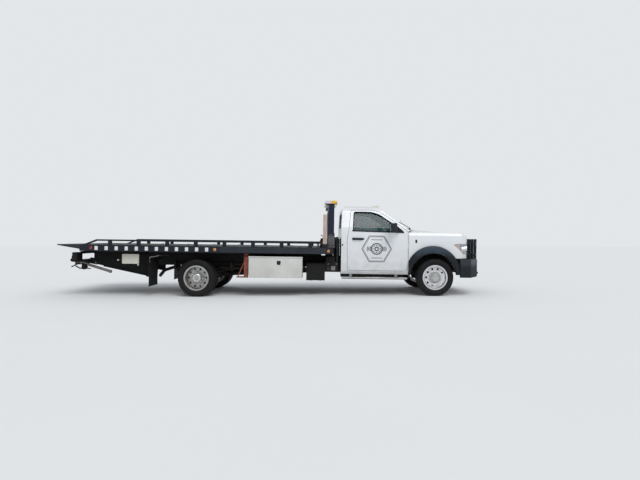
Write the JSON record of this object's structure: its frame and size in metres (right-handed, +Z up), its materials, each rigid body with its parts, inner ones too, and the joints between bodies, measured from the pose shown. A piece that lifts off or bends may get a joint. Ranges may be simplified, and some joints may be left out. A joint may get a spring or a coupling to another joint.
{
  "type": "flatbed tow truck",
  "caption": "Car-carrier tow truck with a regular cab, dual rear wheels, a tilting and sliding flat bed and a stowed wheel lift.",
  "frame": {"origin": "on the ground under the middle of the truck's length and width", "axes": "+X to the front, +Y to the driver's left, +Z up"},
  "size_m": [9.3025, 2.65, 2.1139],
  "materials": {
    "white_paint": "gloss white body paint",
    "bed_paint": "satin black paint on the bed and rails",
    "frame_paint": "black chassis paint with road dirt",
    "red_oxide": "rust-red bracket",
    "box_metal": "pale aluminium toolbox",
    "polished": "polished wheel metal",
    "bright_steel": "machined steel",
    "cast": "cast axle and engine metal",
    "tyre": "tyre rubber",
    "rubber": "flap rubber",
    "black_plastic": "grained black plastic",
    "seat_cloth": "grey woven seat cloth",
    "window_glass": "teal-tinted glass",
    "lamp_clear": "clear and amber lamp plastic",
    "lamp_red": "red lamp plastic"
  },
  "bodies": {
    "chassis": {"frame_rails": "frame_paint", "frame_crossmembers": "frame_paint", "driveline": "cast", "front_axle": "cast", "rear_axle": "cast", "exhaust": "bright_steel", "fuel_tank": "frame_paint", "toolboxes": "box_metal", "box_hangers": "red_oxide", "mud_flaps": "rubber", "cab_shell": "white_paint", "cab_glass": "window_glass", "dashboard": "black_plastic", "seat": "seat_cloth", "fenders": "white_paint", "flares": "black_plastic", "grille": "black_plastic", "headlamps": "lamp_clear", "front_bumper": "bed_paint", "grille_guard": "bed_paint", "tow_eyes": "frame_paint", "side_steps": "polished", "ram_foot": "frame_paint"},
    "hood": {"hood": "white_paint"},
    "subframe": {"subframe": "frame_paint", "slide_barrel": "frame_paint", "tail_lamps": "lamp_red"},
    "bed": {"bed_deck": "bed_paint", "bed_sills": "bed_paint", "side_rails": "bed_paint", "rail_posts": "bed_paint", "headache_rack": "bed_paint", "light_bar": "lamp_clear", "winch": "frame_paint"},
    "tilt_barrels": {"tilt_barrels": "frame_paint"},
    "tilt_rods": {"tilt_rods": "bright_steel"},
    "lift_boom": {"lift_boom": "frame_paint"},
    "lift_extension": {"lift_extension": "frame_paint"},
    "lift_crossbar": {"lift_crossbar": "frame_paint"},
    "lift_barrel": {"lift_barrel": "frame_paint"},
    "lift_rod": {"lift_rod": "bright_steel"},
    "knuckle_right": {"knuckle_right": "cast"},
    "wheel_front_right": {"tyre_front_right": "tyre", "rim_front_right": "polished"},
    "wheels_rear_right": {"tyre_rear_right": "tyre", "rim_rear_right": "polished"},
    "door_right": {"door_right": "white_paint", "door_glass_right": "window_glass", "mirror_right": "black_plastic"},
    "toolbox_door_right": {"toolbox_door_right": "box_metal"},
    "knuckle_left": {"knuckle_left": "cast"},
    "wheel_front_left": {"tyre_front_left": "tyre", "rim_front_left": "polished"},
    "wheels_rear_left": {"tyre_rear_left": "tyre", "rim_rear_left": "polished"},
    "door_left": {"door_left": "white_paint", "door_glass_left": "window_glass", "mirror_left": "black_plastic"},
    "toolbox_door_left": {"toolbox_door_left": "box_metal"}
  },
  "joints": [
    {"name": "steer_right", "type": "hinge", "parent": "chassis", "child": "knuckle_right", "pos_m": [3.54016, -0.85, 0.405], "axis": [0.014, 0, 0.9999], "range_deg": [-32, 32]},
    {"name": "roll_front_right", "type": "hinge", "parent": "knuckle_right", "child": "wheel_front_right", "pos_m": [3.54016, -0.948, 0.405], "axis": [0, 1, 0], "continuous": true},
    {"name": "roll_rear_right", "type": "hinge", "parent": "chassis", "child": "wheels_rear_right", "pos_m": [-1.65434, -0.951, 0.405], "axis": [0, 1, 0], "continuous": true},
    {"name": "open_door_right", "type": "hinge", "parent": "chassis", "child": "door_right", "pos_m": [2.95301, -1.003, 0.93568], "axis": [0.014, 0, 0.9999], "range_deg": [0, 68]},
    {"name": "open_toolbox_right", "type": "hinge", "parent": "chassis", "child": "toolbox_door_right", "pos_m": [0.05593, -1.213, 0.41308], "axis": [0.9999, 0, -0.014], "range_deg": [0, 90]},
    {"name": "steer_left", "type": "hinge", "parent": "chassis", "child": "knuckle_left", "pos_m": [3.54016, 0.85, 0.405], "axis": [0.014, 0, 0.9999], "range_deg": [-32, 32]},
    {"name": "roll_front_left", "type": "hinge", "parent": "knuckle_left", "child": "wheel_front_left", "pos_m": [3.54016, 0.948, 0.405], "axis": [0, 1, 0], "continuous": true},
    {"name": "roll_rear_left", "type": "hinge", "parent": "chassis", "child": "wheels_rear_left", "pos_m": [-1.65434, 0.951, 0.405], "axis": [0, 1, 0], "continuous": true},
    {"name": "open_door_left", "type": "hinge", "parent": "chassis", "child": "door_left", "pos_m": [2.95301, 1.003, 0.93568], "axis": [-0.014, 0, -0.9999], "range_deg": [0, 68]},
    {"name": "open_toolbox_left", "type": "hinge", "parent": "chassis", "child": "toolbox_door_left", "pos_m": [0.05593, 1.213, 0.41308], "axis": [-0.9999, 0, 0.014], "range_deg": [0, 90]},
    {"name": "open_hood", "type": "hinge", "parent": "chassis", "child": "hood", "pos_m": [3.12493, 0, 1.46534], "axis": [0, -1, 0], "range_deg": [0, 50]},
    {"name": "tilt_bed", "type": "hinge", "parent": "chassis", "child": "subframe", "pos_m": [-2.74844, 0, 0.83528], "axis": [0, -1, 0], "range_deg": [0, 12.5]},
    {"name": "slide_bed", "type": "slide", "parent": "subframe", "child": "bed", "axis": [-0.9999, 0, 0.014], "range_m": [0, 3]},
    {"name": "tilt_ram_swing", "type": "hinge", "parent": "chassis", "child": "tilt_barrels", "pos_m": [-2.25212, 0, 0.56832], "axis": [0, -1, 0], "range_deg": [0, 16.56]},
    {"name": "tilt_ram_stroke", "type": "slide", "parent": "tilt_barrels", "child": "tilt_rods", "axis": [0.8347, 0, 0.5507], "range_m": [0, 0.11401]},
    {"name": "lower_lift", "type": "hinge", "parent": "subframe", "child": "lift_boom", "pos_m": [-3.00428, 0, 0.41881], "axis": [0, 1, 0], "range_deg": [-21.5, 0]},
    {"name": "extend_lift", "type": "slide", "parent": "lift_boom", "child": "lift_extension", "axis": [-0.977, 0, 0.213], "range_m": [0, 0.5]},
    {"name": "swing_crossbar", "type": "hinge", "parent": "lift_extension", "child": "lift_crossbar", "pos_m": [-4.43077, 0, 0.72983], "axis": [0.213, 0, 0.977], "range_deg": [-15, 15]},
    {"name": "lift_ram_swing", "type": "hinge", "parent": "subframe", "child": "lift_barrel", "pos_m": [-3.09813, 0, 0.86016], "axis": [0, 1, 0], "range_deg": [-11.4, 0]},
    {"name": "lift_ram_stroke", "type": "slide", "parent": "lift_barrel", "child": "lift_rod", "axis": [-0.8094, 0, -0.5872], "range_m": [0, 0.14886]}
  ],
  "couplings": [
    {"joint": "steer_left", "follows": "steer_right", "ratio": 1},
    {"joint": "tilt_ram_swing", "follows": "tilt_bed", "ratio": 1.3243},
    {"joint": "tilt_ram_stroke", "follows": "tilt_bed", "m_per_rad": 0.52214},
    {"joint": "lift_ram_swing", "follows": "lower_lift", "ratio": 0.52981},
    {"joint": "lift_ram_stroke", "follows": "lower_lift", "m_per_rad": -0.39644}
  ]
}
